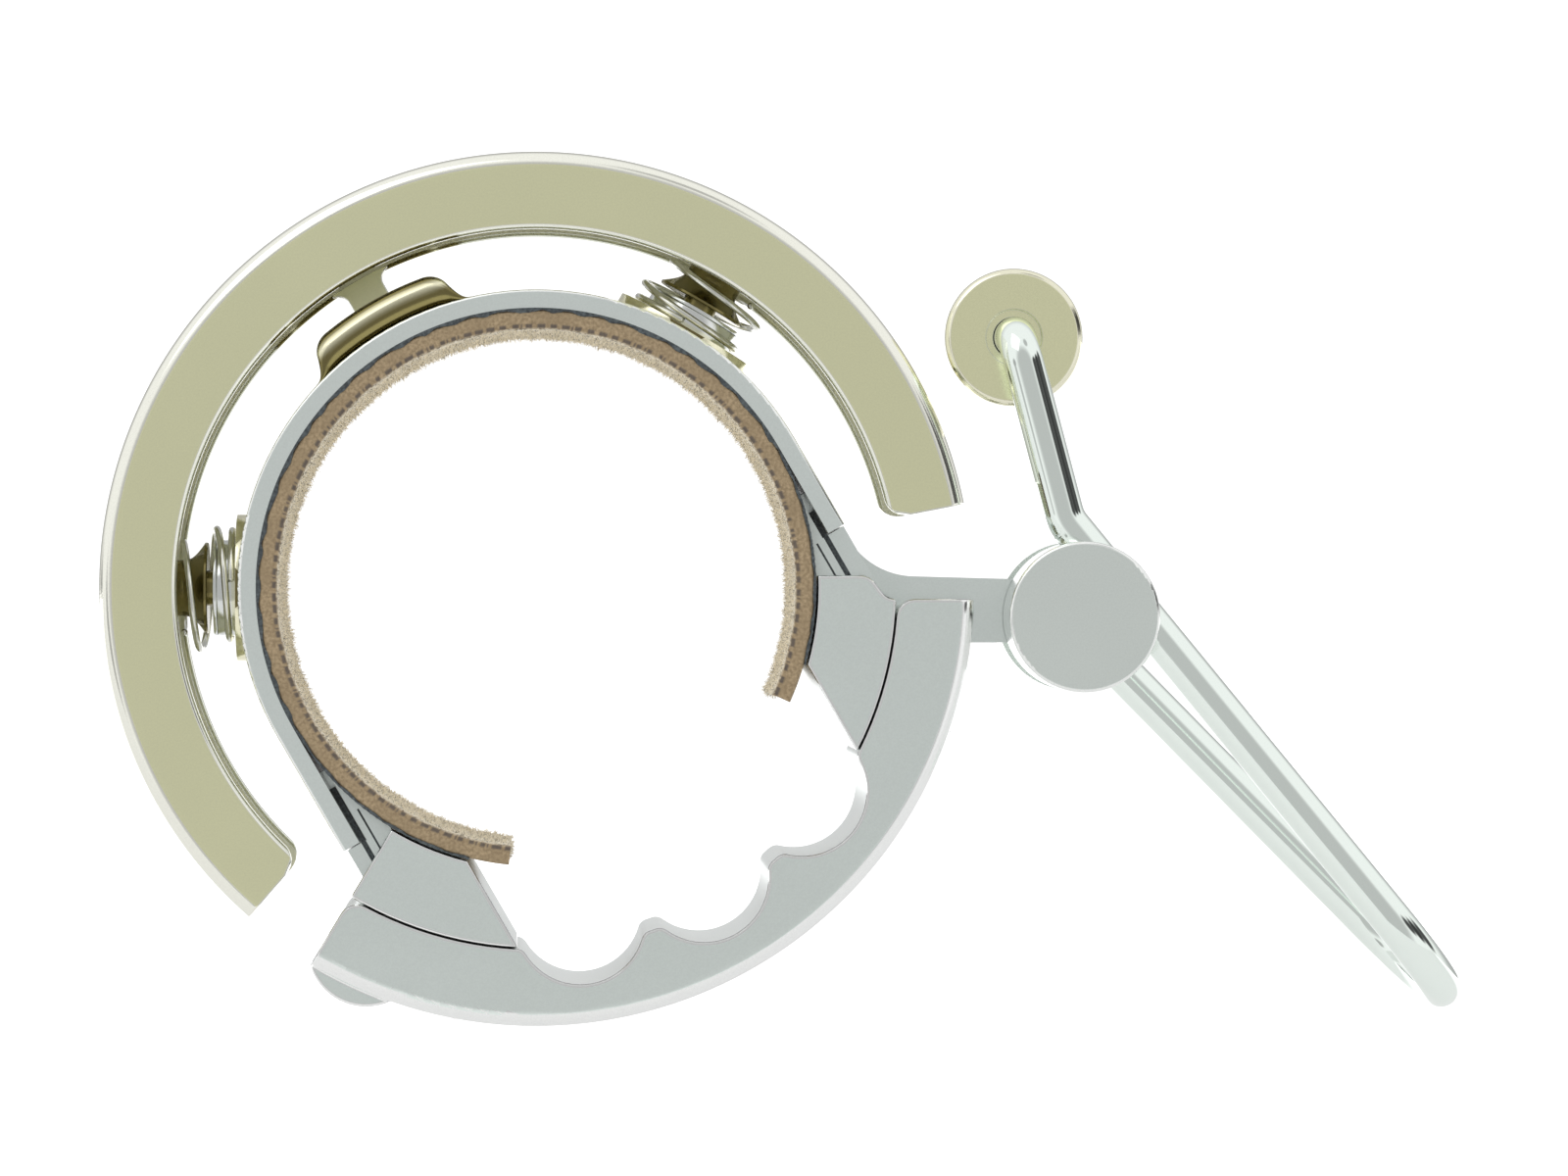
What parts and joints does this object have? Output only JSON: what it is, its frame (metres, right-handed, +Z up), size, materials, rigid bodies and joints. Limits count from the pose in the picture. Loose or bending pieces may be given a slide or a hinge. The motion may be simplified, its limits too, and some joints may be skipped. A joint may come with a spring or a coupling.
{
  "type": "bicycle bell",
  "caption": "Open ring bell that clamps round a handlebar, with a leather lined strap, a notched saddle and a sprung wire striker.",
  "frame": {"origin": "centre of the handlebar bore, midway along it", "axes": "+Y along the handlebar bore, from the near face to the far face; +X to the striker; +Z up, with the ring's crown leaning 30 degrees from Z towards -X"},
  "size_m": [0.0849, 0.018, 0.054],
  "materials": {
    "strap_steel": "satin",
    "liner_leather": "raw cut edge with a suede inner face",
    "glue_line": "matt",
    "bright_steel": "turned",
    "dark_brass": "polished",
    "bell_brass": "satin face, polished rims",
    "hammer_brass": "polished",
    "wire_chrome": "polished",
    "spring_steel": "drawn wire",
    "saddle_metal": "satin",
    "drum_metal": "satin",
    "screw_steel": "plain",
    "bush_bronze": "sintered"
  },
  "bodies": {
    "bracket": {"upper_strap": "strap_steel", "leather_liner": "liner_leather", "liner_bond": "glue_line", "left_lug": "strap_steel", "arm_bracket": "strap_steel", "leg_rivets": "bright_steel", "mount_rivets": "bright_steel", "tab_keeper": "dark_brass", "keeper_rivets": "bright_steel", "pivot_bush": "bush_bronze", "torsion_spring": "spring_steel", "left_mount_base": "dark_brass", "left_mount_ferrule": "bright_steel", "left_mount_cover": "bright_steel", "left_mount_coil": "spring_steel", "right_mount_base": "dark_brass", "right_mount_ferrule": "bright_steel", "right_mount_cover": "bright_steel", "right_mount_coil": "spring_steel"},
    "bell": {"bell_ring": "bell_brass", "left_ring_post": "dark_brass", "right_ring_post": "dark_brass"},
    "striker": {"striker_wire": "wire_chrome", "hammer_head": "hammer_brass", "drum_near": "drum_metal", "drum_far": "drum_metal", "grub_screws": "screw_steel", "pivot_axle": "bright_steel"},
    "saddle": {"saddle_shell": "saddle_metal", "left_jaw": "saddle_metal", "right_jaw": "saddle_metal", "screw_washers": "screw_steel"},
    "left_screw": {"left_clamp_screw": "screw_steel"},
    "right_screw": {"right_clamp_screw": "screw_steel"}
  },
  "joints": [
    {"name": "hammer_swing", "type": "hinge", "parent": "bracket", "child": "striker", "pos_m": [0.0337, 0, -0.00178], "axis": [0, 1, 0], "range_deg": [-4.2, 35], "stiffness_Nm_per_rad": 0.08, "deforming": ["torsion_spring"]},
    {"name": "ring_float", "type": "slide", "parent": "bracket", "child": "bell", "axis": [-0.5, 0, 0.866], "range_m": [-0.00025, 0.00025], "stiffness_N_per_m": 3000, "deforming": ["left_mount_coil", "right_mount_coil"]},
    {"name": "clamp_slide", "type": "slide", "parent": "bracket", "child": "saddle", "axis": [0.5, 0, -0.866], "range_m": [0, 0.003]},
    {"name": "left_screw_turn", "type": "hinge", "parent": "saddle", "child": "left_screw", "pos_m": [-0.00636, 0, -0.02099], "axis": [-0.5, 0, 0.866], "range_deg": [0, 2401]},
    {"name": "right_screw_turn", "type": "hinge", "parent": "saddle", "child": "right_screw", "pos_m": [0.02136, 0, -0.00499], "axis": [-0.5, 0, 0.866], "range_deg": [0, 2401]}
  ],
  "couplings": [
    {"joint": "left_screw_turn", "follows": "clamp_slide", "rad_per_m": 13963},
    {"joint": "right_screw_turn", "follows": "clamp_slide", "rad_per_m": 13963}
  ]
}
